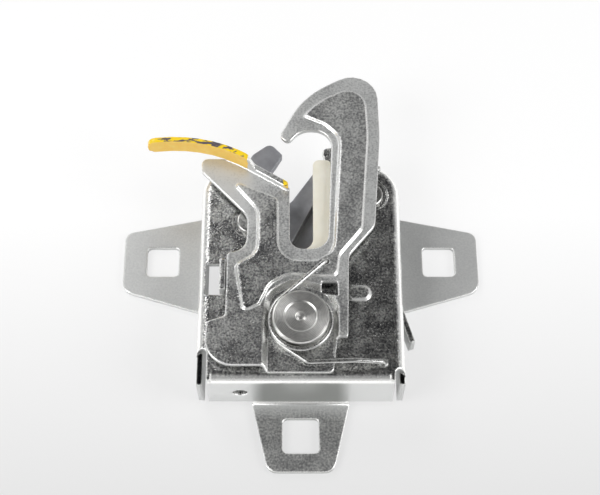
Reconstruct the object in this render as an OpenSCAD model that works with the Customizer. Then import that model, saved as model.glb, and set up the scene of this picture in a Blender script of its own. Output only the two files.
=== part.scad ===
// Bonnet latch: a pressed housing with a sprung safety hook in front of its face
// and a rotary claw with its pawl behind it. X is right, Y is up towards the hook
// and Z is out of the face. Z = 0 is the mounting plane of the three ears, and the
// origin lies midway between the holes of the two side ears.

/* [Housing] */
// Width over the side walls
face_w = 70; // [68:0.5:74]
// Depth from the mounting plane to the front of the face
depth = 23; // [22.5:0.5:28]
// Sheet thickness of the housing
sheet = 2; // [1.6:0.1:2.2]
// Inner radius of every fold
fold_r = 1.5; // [1:0.1:2]
// Distance of the bottom wall below the side holes
bottom_y = 53.5; // [53:0.5:58]
// Height of the shoulder arcs' centres
shoulder_y = 17.4; // [17:0.2:18]
// Outer radius of the two shoulders
shoulder_r = 12; // [10:0.5:13]
// Length of the folded lip beside the mouth
lip_l = 18; // [14:0.5:19]
// Depth of that lip
lip_d = 8; // [6:0.5:10]
// Left edge of the striker slot, from the centre line
slot_left = 4.2; // [4:0.1:5]
// Right edge of the striker slot, from the centre line
slot_right = 8.4; // [8:0.1:9]
// Bottom of the striker slot below the side holes
slot_low = 7.2; // [6:0.2:8]
// Diameter of the drain hole in the bottom wall
drain_d = 5; // [3:0.5:6]

/* [Ears] */
// Distance between the holes of the two side ears
ear_span = 100; // [98:0.5:106]
// Distance of the bottom ear's hole below the side holes
low_hole_y = 65.6; // [65:0.2:72]
// Side of the square holes in the side ears
side_hole = 11.5; // [9:0.1:12.5]
// Side of the square hole in the bottom ear
low_hole = 12.3; // [10:0.1:13]
// Metal beyond the hole, at the end of each ear
ear_end = 14.2; // [11:0.2:16]
// Width of a side ear at its root
ear_root = 37; // [34:0.5:40]
// Width of a side ear at its end
ear_tip = 23; // [21:0.5:26]

/* [Safety hook] */
// Sheet thickness of the hook plate
plate = 2; // [1.6:0.1:2.4]
// Gap between the face and the sunk pivot pocket
pocket_gap = 0.3; // [0.2:0.05:0.5]
// Height of the plate above its pocket
pocket_d = 1.9; // [1.8:0.1:2.6]
// Height of the raised panel above the plate
panel_h = 1; // [0.6:0.1:1.2]
// Distance of the pivot below the side holes
pivot_y = 34; // [33.5:0.1:35]
// Top of the hook above the side holes
hook_top = 62.5; // [60:0.5:68]
// Reach of the hook's point to the left of the centre line
hook_reach = 6.8; // [5:0.2:9]
// Width of the shank beside the slot
shank_w = 17; // [15:0.2:18]
// Left end of the handle, from the centre line
handle_reach = 54; // [48:0.5:58]
// Forward width of the handle, from the back of the plate
handle_w = 9.2; // [7:0.2:11]
// Forward width of the bare flange beside the handle
flange_w = 4.6; // [3.6:0.2:5.4]
// Diameter of the hook's pivot bore
pivot_d = 12.6; // [11:0.1:13.4]
// Travel of the safety hook, in degrees
hook_turn = 20; // [15:1:20]

/* [Safety spring] */
// Wire diameter of the safety spring
wire_d = 1.7; // [1.4:0.1:1.9]
// Mean radius of its coil
coil_r = 10.2; // [10:0.1:10.6]
// Diameter of the main rivet's head
head_d = 19.2; // [18.6:0.1:19.8]

/* [Claw and pawl] */
// Place of the claw's pivot, right and up
claw_at = [-17.8, 6]; // [-30:0.1:30]
// Distance of the pawl's pivot from the right wall's outside
pawl_in = 10.5; // [10.2:0.1:11]
// Height of the pawl's pivot above the side holes
pawl_up = 16.3; // [16:0.1:16.8]
// Thickness of each of the claw's two steps
step_t = 3.2; // [2.6:0.1:3.4]
// Gap between the face and the claw
claw_gap = 2.2; // [2.1:0.1:2.6]
// Direction of the claw's open mouth, in degrees
mouth_dir = 56; // [54:0.5:58]
// Width of the claw's mouth
mouth_w = 13; // [11:0.2:14]
// Radius of the claw's cam
cam_r = 26; // [25:0.2:27]
// Diameter of the claw's and the pawl's pivot bores
pin_d = 10; // [8:0.1:10.6]
// Wire diameter of the two inner springs
inner_wire = 1.4; // [1.1:0.1:1.5]

/* [Clearances] */
// Radial clearance of a running fit
run_fit = 0.05; // [0.02:0.01:0.1]
// Clearance between pieces that move past each other
clear = 0.35; // [0.3:0.05:0.4]

/* [Hidden] */
$fn = 64;

zinc = [0.72, 0.73, 0.74];
dark = [0.30, 0.31, 0.33];
nylon = [0.91, 0.89, 0.82];
wire_grey = [0.55, 0.56, 0.58];

half_w = face_w / 2;
fold_out = fold_r + sheet;
back = depth - sheet;
cut = 0.5;
pivot_at = [0, -pivot_y];
pawl_at = [half_w - pawl_in, pawl_up];

// Levels of the safety hook, from the face outwards
pocket_back = depth + pocket_gap;
pocket_front = pocket_back + plate;
plate_back = pocket_back + pocket_d;
plate_front = plate_back + plate;
panel_front = plate_front + panel_h;

// Levels of the safety spring and the main rivet
seat = 0.25;
coil_low = pocket_front + wire_d / 2 + seat;
coil_high = panel_front + wire_d / 2 + seat;
head_back = coil_high + wire_d / 2 + seat;
head_t = 1.8;

// Levels of the claw and the pawl, from the face backwards
dimple = 0.8;
boss_back = back - dimple;
claw_front = back - claw_gap;
claw_mid = claw_front - step_t;
claw_back = claw_mid - step_t;
pawl_front = claw_mid - clear / 2;
pawl_back = claw_back + clear / 2;
inner_coil_turns = 2.25;
inner_coil_top = claw_back - inner_wire / 2 - seat;
inner_coil_low = inner_coil_top - inner_coil_turns * (inner_wire + 0.1);
pin_head_front = inner_coil_low - inner_wire / 2 - seat;
pin_head_t = 1.6;
pin_r = pin_d / 2 - run_fit;
inner_coil_r = pin_d / 2 + inner_wire / 2 + 0.4;

// Outline helpers

function unit(v) = v / norm(v);

// Points of the arc of radius r that rounds the corner b between a and c
function corner(a, b, c, r, n = 7) =
    let (u = unit(a - b), v = unit(c - b), open = acos(max(-1, min(1, u * v))))
    r <= 0 || open > 179 ? [b] :
    let (reach = r / tan(open / 2),
        mid = b + unit(u + v) * r / sin(open / 2),
        p = unit(b + u * reach - mid),
        q = unit(b + v * reach - mid),
        turn = 180 - open)
    [for (i = [0:n]) mid + r * (sin(turn * (1 - i / n)) * p + sin(turn * i / n) * q) / sin(turn)];

// An outline of [x, y, radius] corners with each corner rounded
function rounded(c) = [for (i = [0:len(c) - 1])
    let (a = c[(i + len(c) - 1) % len(c)], b = c[i], d = c[(i + 1) % len(c)])
    each corner([a.x, a.y], [b.x, b.y], [d.x, d.y], b.z)];

// The same corners moved inwards by d, for outlines that run anticlockwise
function inset(c, d) = [for (i = [0:len(c) - 1])
    let (a = c[(i + len(c) - 1) % len(c)], b = c[i], e = c[(i + 1) % len(c)],
        u = unit([b.x - a.x, b.y - a.y]), v = unit([e.x - b.x, e.y - b.y]),
        m = [-u.y, u.x], n = [-v.y, v.x],
        left = u.x * v.y - u.y * v.x,
        k = d / (1 + m * n))
    [b.x + k * (m.x + n.x), b.y + k * (m.y + n.y), max(0.3, b.z + (left > 0 ? -d : d))]];

function arc(at, r, from, to, step = 6) =
    let (n = ceil(abs(to - from) / step))
    [for (i = [0:n]) let (a = from + (to - from) * i / n) [at.x + r * cos(a), at.y + r * sin(a)]];

function turned(p, a, at = [0, 0]) =
    [at.x + p.x * cos(a) - p.y * sin(a), at.y + p.x * sin(a) + p.y * cos(a)];

// A solid between a lower and an upper outline with equal counts of points
module draft(low, high, z0, z1) {
    n = len(low);
    polyhedron(
        points = [for (p = low) [p.x, p.y, z0], for (p = high) [p.x, p.y, z1]],
        faces = [[for (i = [0:n - 1]) i], [for (i = [n - 1:-1:0]) n + i],
            for (i = [0:n - 1]) each [[i, n + i, (i + 1) % n], [(i + 1) % n, n + i, n + (i + 1) % n]]]);
}

// Wire helpers

// The normals carried along a path without twist
function carried(t, i, n) =
    let (m = unit(n - (n * t[i]) * t[i]))
    i == len(t) - 1 ? [m] : concat([m], carried(t, i + 1, m));

// A round wire along a path of points
module wire(path, d, sides = 8) {
    n = len(path);
    tangent = [for (i = [0:n - 1]) unit(path[min(i + 1, n - 1)] - path[max(i - 1, 0)])];
    normal = carried(tangent, 0, unit(cross(tangent[0], [0.2, 0.3, 0.9])));
    ring = [for (i = [0:n - 1], k = [0:sides - 1])
        let (a = 360 * k / sides, b = cross(tangent[i], normal[i]))
        path[i] + d / 2 * (cos(a) * normal[i] + sin(a) * b)];
    polyhedron(points = ring,
        faces = [[for (k = [0:sides - 1]) k], [for (k = [sides - 1:-1:0]) (n - 1) * sides + k],
            for (i = [0:n - 2], k = [0:sides - 1])
                let (a = i * sides + k, b = i * sides + (k + 1) % sides)
                each [[a, a + sides, b], [b, a + sides, b + sides]]]);
}

// A helix about a vertical axis, from one angle and height to another
function helix(at, r, from, to, z0, z1, step = 18) =
    let (n = ceil(abs(to - from) / step))
    [for (i = [0:n]) let (a = from + (to - from) * i / n)
        [at.x + r * cos(a), at.y + r * sin(a), z0 + (z1 - z0) * i / n]];

// Housing

// Section of a wall folded back from the face, with a strip of the face: across is outwards, up is Z
module wall_section(back_z) {
    translate([-fold_out, depth - fold_out]) intersection() {
        difference() {
            circle(fold_out);
            circle(fold_r);
        }
        square(fold_out);
    }
    translate([-sheet, back_z]) square([sheet, depth - fold_out - back_z]);
    translate([-fold_out - 1.5, back]) square([1.5, sheet]);
}

// Section of a wall that ends in an ear folded outwards at the mounting plane
module ear_section() {
    translate([-sheet, fold_out]) square([sheet, depth / 3]);
    translate([fold_r, fold_out]) intersection() {
        difference() {
            circle(fold_out);
            circle(fold_r);
        }
        translate([-fold_out, -fold_out]) square(fold_out);
    }
}

// Sections run down a side wall, from top to bottom, or across the bottom wall
module down_side(top, bottom) translate([half_w, top, 0]) rotate([90, 0, 0])
    linear_extrude(top - bottom) children();
module across_bottom(right, left) translate([right, -bottom_y, 0]) rotate([90, 0, -90])
    linear_extrude(right - left) children();

slot_turn = [slot_right - 6, -slot_low + 6];
wall_back = 3;
wall_low = -bottom_y + 0.3;
ear_top = shoulder_y - 0.2;
low_root = 33.4;
low_tip = 22.4;
relief_w = 3.6;
relief_d = fold_out + 0.7;
lance_y = -21.6;
lance_z = 5.5;
lance_l = 15;
lance_w = 8;
lance_turn = 17;
relief_left = -41.8;
relief_right = -48.9;
lip_dir = 150;
relief_gap = 0.3;
shoulder_at = [half_w - shoulder_r, shoulder_y];
lip_start = shoulder_at + shoulder_r * [cos(lip_dir - 90), sin(lip_dir - 90)];
spring_hole = [27.4, -47.1];
spring_hole_r = 1.3;
tab_x = -25.7;
tab_top = -10.8;
tab_low = -22.2;
tab_h = plate_front - depth + 0.6;
bead_from = [18.4, -21.8];
bead_to = [21.2, -21.8];
bead_r = 3.2;
bead_h = 1;
rivet_r = 4;
dimple_r = 6.2;
main_shank_r = 5;

// The flat of the face: it laps the strips of the folded walls by half their width
module face() {
    fold_in = fold_out + 0.75;
    along = [cos(lip_dir), sin(lip_dir)];
    out = [cos(lip_dir - 90), sin(lip_dir - 90)];
    lip_foot = lip_start - sheet / 2 * out + 2 * relief_gap * along;
    lip_end = lip_start - sheet / 2 * out + (lip_l - relief_gap) * along;
    horn = lip_start - 2.6 * out + (lip_l + 2.2) * along;
    mouth = [slot_right - 1.2, lip_end.y - 0.7];
    throat = [slot_right, lip_end.y - 4.5];
    outline = concat(
        [[-half_w + fold_in, -bottom_y + fold_in], [half_w - fold_in, -bottom_y + fold_in]],
        arc(shoulder_at, shoulder_r - fold_in, 0, lip_dir - 95),
        [lip_start - fold_in * out + 2 * relief_gap * along, lip_foot, lip_end],
        corner(lip_end, horn, mouth, 0.8),
        corner(horn, mouth, throat, 2),
        corner(mouth, throat, [slot_right, 0], 3),
        arc(slot_turn, 6, 0, -90),
        arc([-slot_left + 4, -slot_low + 4], 4, 270, 180),
        corner([-slot_left, 0], [-slot_left, 14.5], [-14, 21], 4),
        [[-22, 23.6]],
        arc([-shoulder_at.x, shoulder_at.y], shoulder_r - fold_in, 112, 180));
    translate([0, 0, back]) linear_extrude(sheet) polygon(outline);
}

// One shoulder, folded back round its arc
module shoulder() translate([shoulder_at.x, shoulder_at.y, 0])
    rotate_extrude(angle = lip_dir - 90) translate([shoulder_r, 0]) wall_section(depth - lip_d);

module side_ear() {
    root = half_w + fold_r;
    tip = ear_span / 2 + ear_end;
    outline = rounded([[root, ear_top, 0], [root, ear_top - ear_root, 0],
        [tip, -ear_tip / 2, 5], [tip, ear_tip / 2, 3.5]]);
    down_side(ear_top, ear_top - ear_root) ear_section();
    linear_extrude(sheet) polygon(outline);
}

module low_ear() {
    root = -bottom_y - fold_r;
    tip = -low_hole_y - ear_end + 1.6;
    outline = rounded([[low_root / 2, root, 0], [-low_root / 2, root, 0], [-low_tip / 2, tip, 4],
        [low_tip / 2, tip, 4]]);
    across_bottom(low_root / 2, -low_root / 2) ear_section();
    linear_extrude(sheet) polygon(outline);
}

module square_hole(at, side) translate([at.x, at.y, -cut]) linear_extrude(sheet + 2 * cut)
    polygon(rounded([for (k = [[-1, -1], [1, -1], [1, 1], [-1, 1]])
        [k.x * side / 2, k.y * side / 2, 1.6]]));

// Slide bead: a raised round-ended pad
module bead() {
    low = [[bead_to.x + bead_r, bead_to.y - bead_r, bead_r - 0.05], [bead_to.x + bead_r, bead_to.y + bead_r, bead_r - 0.05],
        [bead_from.x - bead_r, bead_from.y + bead_r, bead_r - 0.05], [bead_from.x - bead_r, bead_from.y - bead_r, bead_r - 0.05]];
    draft(rounded(low), rounded(inset(low, 1.2)), depth - 0.2, depth + bead_h);
}

module pan() difference() {
    union() {
        face();
        down_side(shoulder_y, wall_low) wall_section(wall_back);
        mirror([1, 0, 0]) down_side(shoulder_y, wall_low) wall_section(wall_back);
        shoulder();
        mirror([1, 0, 0]) shoulder();
        // Lip beside the mouth
        translate([lip_start.x, lip_start.y, depth - lip_d]) rotate([0, 0, lip_dir - 90])
            translate([-sheet, relief_gap, 0]) cube([sheet, lip_l - relief_gap, lip_d - relief_gap]);
        across_bottom(half_w - fold_out, -half_w + fold_out) wall_section(wall_back);
        side_ear();
        mirror([1, 0, 0]) side_ear();
        low_ear();
        bead();
        // Stop tab for the safety hook
        translate([tab_x - sheet, tab_low, back]) cube([sheet, tab_top - tab_low, sheet + tab_h]);
        // Backs of the two rivet dimples
        for (at = [claw_at, pawl_at]) translate([at.x, at.y, boss_back])
            cylinder(r = dimple_r + 0.7, h = dimple + sheet / 2);
    }
    square_hole([-ear_span / 2, 0], side_hole);
    square_hole([ear_span / 2, 0], side_hole);
    square_hole([0, -low_hole_y], low_hole);
    // Rivet holes in their dimples
    for (at = [claw_at, pawl_at]) translate([at.x, at.y, 0]) {
        translate([0, 0, depth - dimple]) cylinder(r = dimple_r, h = dimple + cut);
        translate([0, 0, boss_back - cut]) cylinder(r = rivet_r, h = depth);
    }
    translate([pivot_at.x, pivot_at.y, back - cut]) cylinder(r = main_shank_r, h = sheet + 2 * cut);
    translate([spring_hole.x, spring_hole.y, back - cut]) cylinder(r = spring_hole_r, h = sheet + 2 * cut);
    // Window that the stop tab was lanced from
    translate([tab_x - sheet - tab_h, tab_low, back - cut])
        cube([tab_h, tab_top - tab_low, sheet + 2 * cut]);
    // Drain hole in the bottom wall
    translate([-20.5, -bottom_y - cut, depth / 2]) rotate([-90, 0, 0])
        cylinder(d = drain_d, h = sheet + 2 * cut);
    // Corner reliefs with round tops: the side walls run on behind them
    for (s = [[-1, relief_left], [1, relief_right]]) {
        x = s[0] * (half_w - relief_w / 2);
        low = depth - relief_d;
        translate([x, s[1] - relief_w / 2, low]) cylinder(d = relief_w, h = relief_d + cut);
        translate([x - relief_w / 2 - (s[0] < 0 ? cut : 0), -bottom_y - cut, low])
            cube([relief_w + cut, s[1] - relief_w / 2 + bottom_y + cut, relief_d + cut]);
    }
    // Window that the tongue of the right wall was lanced from
    translate([half_w - sheet - cut, lance_y - lance_l - 0.6, lance_z - 0.5])
        cube([sheet + 2 * cut, lance_l + 0.2, lance_w + 1]);
}

module housing() color(zinc) {
    pan();
    // Tongue set outwards from the right wall
    translate([half_w - sheet, lance_y, lance_z]) rotate([0, 0, lance_turn])
        translate([0, -lance_l, 0]) cube([sheet, lance_l, lance_w]);
}

// Safety hook

slot_in = 9.4;
arm_end = 35.2;
plate_right = 15.8;
tongue_low = pivot_y + 17.2;
tongue_r = 11.8;
leg_hole = [8.6, -12.1];
leg_hole_r = wire_d / 2 + 0.2;

// Corners of the plate, anticlockwise from the foot of the tongue
hook_corners = [
    [tongue_r - 1, -tongue_low, 1.5], [tongue_r + 0.4, -pivot_y - 5.2, 0.8],
    [plate_right, -pivot_y - 5.2, 0.8], [plate_right + 0.7, -9.2, 5],
    [slot_in + shank_w - 0.6, 2.2, 6], [slot_in + shank_w + 2, 38, 60],
    [slot_in + shank_w + 1.3, hook_top + 7, 9.5], [0.8, hook_top - 7.6, 32],
    [-hook_reach - 0.8, 38.2, 2], [-hook_reach + 2.2, 35.2, 1.8],
    [0.2, 40.6, 7], [slot_in + 1.8, 40.6, 6.5],
    [slot_in, -6.8, 5.8], [-3.8, -6.8, 4.5],
    [-3.8, 16.9, 0.8], [-22.6, 28.7, 16], [-arm_end, 28.7, 2.2],
    [-arm_end + 0.2, 23.6, 2.4], [-18.4, 6, 7], [-18.8, -6.8, 5],
    [tab_x + clear, -8.4, 1.5], [tab_x + clear, -31.6, 1.5],
    [-31.6, -33.8, 1.5], [-32.2, -49.2, 9], [-tongue_r - 0.6, -49.2, 0.5], [-tongue_r + 0.4, -tongue_low, 1.5]];

// Corners of the raised panel
panel_corners = [
    [12.6, -17.6, 2.5], [13.6, -9.4, 5], [21.6, 0.6, 5], [24.4, 38, 60],
    [slot_in + shank_w - 3, hook_top - 1, 7], [6.2, hook_top - 10, 30],
    [0.6, 46.2, 1], [8.4, 42.6, 5], [13.8, 37.4, 8],
    [11, -11.3, 7.6], [-7.5, -11.3, 7.2],
    [-7.6, 12.6, 3], [-25.8, 20.6, 1.2], [-15, 7.6, 9],
    [-15.2, -8.6, 6], [-22.6, -12.8, 3], [-19.6, -31, 2], [-13.8, -28, 2],
    [-10.4, -20.4, 6], [-4, -16.8, 6], [6, -17.6, 2]];

// Corners of the sunk pocket round the pivot
pocket_corners = [
    [tongue_r, -tongue_low - 4, 0.5], [tongue_r, -pivot_y + 5.6, 1], [9.4, -pivot_y + 11.8, 6],
    [-2, -pivot_y + 15.4, 8], [-tongue_r + 1, -pivot_y + 10.4, 6], [-tongue_r, -pivot_y, 6],
    [-tongue_r, -tongue_low - 4, 0.5]];

// Strip of the handle seen along Z: an arch along the arm's top edge and on past its end
module handle_strip() {
    outer = [[-3.5, 17.4, 0], [-32.6, 35.2, 52], [-handle_reach, 32.8, 0]];
    inner = [[-handle_reach, 32.8 - plate, 0], [-33.1, 35.2 - plate, 50], [-4.6, 17.7 - plate, 0]];
    polygon(rounded(concat(outer, inner)));
}

// The handle's outline seen from below: across is X, up is Z
module handle_outline() polygon(rounded([
    [-handle_reach, plate_front + 0.4, 2.8], [-26.4, plate_front + 0.4, 1], [-24.2, plate_back + 0.3, 0.5],
    [-4.4, plate_back + 0.3, 0], [-4.4, plate_back + flange_w, 1],
    [-16.2, plate_back + flange_w, 1.2], [-18.6, plate_back + handle_w, 1.2],
    [-handle_reach, plate_back + handle_w, 2.8]]));

module handle() intersection() {
    translate([0, 0, plate_back - 1]) linear_extrude(handle_w + 2) handle_strip();
    translate([0, 60, 0]) rotate([90, 0, 0]) linear_extrude(60) handle_outline();
}

module safety_hook() color(zinc) difference() {
    union() {
        translate([0, 0, plate_back]) linear_extrude(plate) polygon(rounded(hook_corners));
        translate([0, 0, plate_front - cut]) linear_extrude(panel_h + cut) polygon(rounded(panel_corners));
        intersection() {
            draft(rounded(pocket_corners), rounded(inset(pocket_corners, -pocket_d)), pocket_back,
                plate_back + 0.2);
            translate([0, 0, pocket_back - 1]) linear_extrude(depth) polygon(rounded(hook_corners));
        }
        handle();
    }
    // The back of the raised panel and the front of the pocket are sunk by as much
    translate([0, 0, plate_back - cut]) linear_extrude(panel_h + cut)
        polygon(rounded(inset(panel_corners, 1.3)));
    draft(rounded(inset(pocket_corners, 0.8)), rounded(inset(pocket_corners, 0.8 - pocket_d - 0.2)),
        pocket_front, plate_front + 0.2);
    translate([pivot_at.x, pivot_at.y, pocket_back - cut]) cylinder(d = pivot_d, h = depth);
    translate([leg_hole.x, leg_hole.y, pocket_back]) cylinder(r = leg_hole_r, h = depth);
    // Relief window at the pocket's upper right corner
    translate([0, 0, pocket_back - cut]) linear_extrude(depth)
        polygon(rounded([[7, -22.4, 0.6], [12.6, -24.6, 0.6], [12.6, -18.9, 0.6], [7, -18.9, 0.6]]));
}

module pivot_rivet() color(zinc) translate([pivot_at.x, pivot_at.y, 0]) {
    shoulder_front = pocket_front + seat / 2;
    barrel_r = coil_r - wire_d / 2 - 0.5;
    tail_t = 1.6;
    rotate_extrude() polygon(concat(
        [[0, back - tail_t], [main_shank_r + 2, back - tail_t], [main_shank_r + 2.5, back], [main_shank_r, back],
            [main_shank_r, depth], [pivot_d / 2 - run_fit, depth], [pivot_d / 2 - run_fit, shoulder_front],
            [barrel_r, shoulder_front], [barrel_r, head_back], [head_d / 2, head_back]],
        arc([head_d / 2 - 0.9, head_back + head_t - 0.9], 0.9, 0, 90, 18),
        [[5.6, head_back + head_t], [5.2, head_back + head_t - 0.35], [1.7, head_back + head_t - 0.35],
            [1.2, head_back + head_t + 0.2], [0, head_back + head_t + 0.3]]));
}

// Torsion spring: from its hole in the plate, round the rivet and out to the face
module safety_spring() color(wire_grey) {
    to_hole = leg_hole - pivot_at;
    start = atan2(to_hole.y, to_hole.x) + acos(coil_r / norm(to_hole));
    bend_at = [2.4, -48];
    to_bend = bend_at - pivot_at;
    finish = atan2(to_bend.y, to_bend.x) - acos(coil_r / norm(to_bend)) + 720;
    run = coil_high;
    hole_top = [leg_hole.x, leg_hole.y, coil_high];
    hole_end = [leg_hole.x, leg_hole.y, plate_back + panel_h];
    coil = helix(pivot_at, coil_r, start, finish, run, coil_low);
    turn_at = [bend_at.x, bend_at.y, coil_low];
    over = [plate_right + 2, spring_hole.y - 0.3, coil_low];
    drop = [spring_hole.x, spring_hole.y, depth + wire_d / 2 + seat];
    foot = [spring_hole.x, spring_hole.y, back];
    wire(concat([hole_end], corner(hole_end, hole_top, coil[0], 1.6, 4), coil,
        corner(coil[len(coil) - 1], turn_at, over, 3, 5), corner(turn_at, over, drop, 3, 3),
        corner(over, drop, foot, 1.6, 4), [foot]), wire_d);
}

// Claw and pawl

hub_r = pin_d / 2 + 5.4;
half_mouth = mouth_w / 2;
hook_hole_r = inner_wire / 2 + 0.25;
claw_hole = [-hub_r + 1.6, 0];
pawl_hole = [hub_r + 1.6, 0];
pawl_tail = 22;
pawl_tail_dir = 265;
nose_r = 1.6;
nose_at = claw_at + (cam_r + clear + nose_r) * [cos(-4), sin(-4)];

module claw() color(dark) translate([claw_at.x, claw_at.y, 0]) rotate(mouth_dir) difference() {
    cam_end = -asin(half_mouth / cam_r);
    union() {
        translate([0, 0, claw_mid]) linear_extrude(step_t) polygon(rounded([
            [-10, -10, 7], [3, -15.8, 5], [33.6, -half_mouth - 5.4, 2.5], [34.4, -half_mouth, 1.2],
            [13, -half_mouth, 4], [13, half_mouth, 4], [25, half_mouth, 2], [30.4, half_mouth + 0.4, 1],
            [32, half_mouth + 7, 2.5], [24.4, half_mouth + 9.6, 4], [3, 12.4, 6], [-10, 10, 7]]));
        translate([0, 0, claw_back]) linear_extrude(step_t)
            polygon(concat([[-2, -half_mouth]], arc([0, 0], cam_r, -78, cam_end, 4)));
        translate([0, 0, claw_back]) cylinder(r = hub_r, h = step_t);
    }
    translate([0, 0, claw_back - cut]) cylinder(d = pin_d, h = 2 * step_t + 2 * cut);
    translate([claw_hole.x, claw_hole.y, claw_back - cut]) cylinder(r = hook_hole_r, h = step_t);
}

module pawl() color(dark) {
    to_nose = nose_at - pawl_at;
    reach = norm(to_nose);
    hub = hub_r - 2.4;
    difference() {
        translate([pawl_at.x, pawl_at.y, pawl_back]) union() {
            cylinder(r = hub, h = pawl_front - pawl_back);
            linear_extrude(pawl_front - pawl_back) rotate(atan2(to_nose.y, to_nose.x)) polygon(rounded([
                [0, -hub + 1, 0], [reach + nose_r, -nose_r, nose_r - 0.1], [reach + nose_r, nose_r, nose_r - 0.1],
                [0, hub - 1, 0]]));
            linear_extrude(pawl_front - pawl_back) rotate(pawl_tail_dir) polygon(rounded([
                [0, -hub + 2, 0], [pawl_tail + 3.2, -3.4, 3.2], [pawl_tail + 3.2, 3.4, 3.2], [0, hub - 2, 0]]));
        }
        translate([pawl_at.x, pawl_at.y, pawl_back - cut]) cylinder(d = pin_d, h = depth);
        translate([pawl_at.x, pawl_at.y, pawl_back - cut]) rotate(pawl_tail_dir) {
            translate([pawl_tail, 0, 0]) cylinder(r = 1.9, h = depth);
            translate([pawl_hole.x, 0, 0]) cylinder(r = hook_hole_r, h = depth);
        }
    }
}

// Shouldered rivet fixed in a dimple of the face, with its flange at the back
module shouldered_rivet(at) translate([at.x, at.y, 0]) rotate_extrude() polygon(concat(
    [[0, pin_head_front - pin_head_t], [pin_r + 2.4, pin_head_front - pin_head_t], [pin_r + 2.8, pin_head_front],
        [pin_r, pin_head_front], [pin_r, boss_back], [rivet_r, boss_back], [rivet_r, depth - dimple],
        [rivet_r + 0.7, depth - dimple]],
    arc([rivet_r - 0.1, depth - dimple + 0.7], 0.8, 0, 90, 18),
    [[0, depth - dimple + 1.6]]));

module claw_rivet() color(zinc) shouldered_rivet(claw_at);
module pawl_rivet() color(zinc) shouldered_rivet(pawl_at);

// Ring between two levels, round a shouldered rivet
module ring(at, low, high, r) translate([at.x, at.y, 0]) difference() {
    translate([0, 0, low]) cylinder(r = r, h = high - low);
    translate([0, 0, low - cut]) cylinder(d = pin_d, h = high - low + 2 * cut);
}

module claw_washer() color(wire_grey) ring(claw_at, claw_front + clear / 3, boss_back, pin_d / 2 + 2.4);
module pawl_spacer() color(wire_grey) ring(pawl_at, pawl_front + clear / 3, boss_back, pin_d / 2 + 1.4);

// Torsion spring on a shouldered rivet: hooked in a lever, with its free leg on a side wall
module inner_spring(at, hook, sweep, wall_x) {
    start = atan2(hook.y, hook.x) - 25;
    lift = [at.x + hook.x, at.y + hook.y, inner_coil_top];
    peg = lift + [0, 0, inner_wire + 1.4];
    coil = helix(at, inner_coil_r, start, start - sweep, inner_coil_top, inner_coil_low);
    last = coil[len(coil) - 1];
    wire(concat([peg], corner(peg, lift, coil[0], 1, 4), coil, [[wall_x, last.y, inner_coil_low]]), inner_wire);
}

// Each coil ends where it runs straight at its wall: below its rivet on the left, above it on the right
wall_at = half_w - sheet - inner_wire / 2 - 0.1;
module claw_spring() color(wire_grey)
    inner_spring(claw_at, turned(claw_hole, mouth_dir), mouth_dir - 25 + 630, -wall_at);
module pawl_spring() color(wire_grey)
    inner_spring(pawl_at, turned(pawl_hole, pawl_tail_dir), pawl_tail_dir - 25 + 270, wall_at);

// Moulded guide clipped over the right edge of the slot
guide_top = 29.6;
guide_web = 4.3;
guide_lap = 2.4;
guide_lip = 1.7;

// One layer of the guide, which laps over the slot's edge by the value given
module guide_layer(low, high, lap) translate([0, 0, low]) linear_extrude(high - low) polygon(concat(
    arc([guide_web - 4.2, -slot_low + 5.4], 4.2, 0, -130),
    arc([-slot_left + 4, -slot_low + 4], 4 + lap, 228, 268),
    arc(slot_turn, 6 + lap, -90, 0),
    corner([slot_right + lap, 0], [slot_right + lap, guide_top], [0, guide_top], 1.6),
    corner([slot_right, guide_top], [guide_web, guide_top], [guide_web, 0], 2.2)));

module striker_guide() color(nylon) {
    guide_layer(back, depth, 0);
    guide_layer(depth, plate_back - clear, guide_lap);
    guide_layer(back - guide_lip, back, guide_lap);
}

housing();
safety_hook();
pivot_rivet();
safety_spring();
claw();
claw_rivet();
claw_washer();
claw_spring();
pawl();
pawl_rivet();
pawl_spacer();
pawl_spring();
striker_guide();
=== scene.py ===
import math

import bmesh
import bpy
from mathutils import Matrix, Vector


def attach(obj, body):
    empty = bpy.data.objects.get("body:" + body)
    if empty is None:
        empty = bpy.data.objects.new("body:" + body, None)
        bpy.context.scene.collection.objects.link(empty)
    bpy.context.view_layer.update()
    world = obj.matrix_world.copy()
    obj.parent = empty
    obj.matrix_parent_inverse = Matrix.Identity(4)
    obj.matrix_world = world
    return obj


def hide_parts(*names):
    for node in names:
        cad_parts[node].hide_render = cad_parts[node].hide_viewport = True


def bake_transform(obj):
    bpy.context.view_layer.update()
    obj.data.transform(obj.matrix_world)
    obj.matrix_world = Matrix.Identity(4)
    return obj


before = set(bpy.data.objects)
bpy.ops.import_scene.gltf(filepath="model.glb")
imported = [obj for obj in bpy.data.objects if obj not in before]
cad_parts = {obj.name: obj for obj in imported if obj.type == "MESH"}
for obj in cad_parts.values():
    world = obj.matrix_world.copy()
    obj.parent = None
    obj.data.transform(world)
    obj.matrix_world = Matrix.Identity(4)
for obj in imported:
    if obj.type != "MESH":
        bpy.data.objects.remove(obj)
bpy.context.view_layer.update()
bpy.context.scene.view_settings.view_transform = "Standard"

# Housing: one pan of zinc-coated steel sheet, blanked, embossed and folded back on
# three sides, with the ears folded out at the back. The press leaves a small round on
# the edges; those at the tight folds of the ears are left as they are.
housing_edge = 0.00022
short_side = 0.00015
ear_folds = (0.0021, 0.0055)


def linear(code):
    """An sRGB hex colour as linear red, green, blue and alpha."""
    channels = [int(code[i:i + 2], 16) / 255 for i in (1, 3, 5)]
    return tuple(c / 12.92 if c <= 0.04045 else ((c + 0.055) / 1.055) ** 2.4 for c in channels) + (1.0,)


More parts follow.
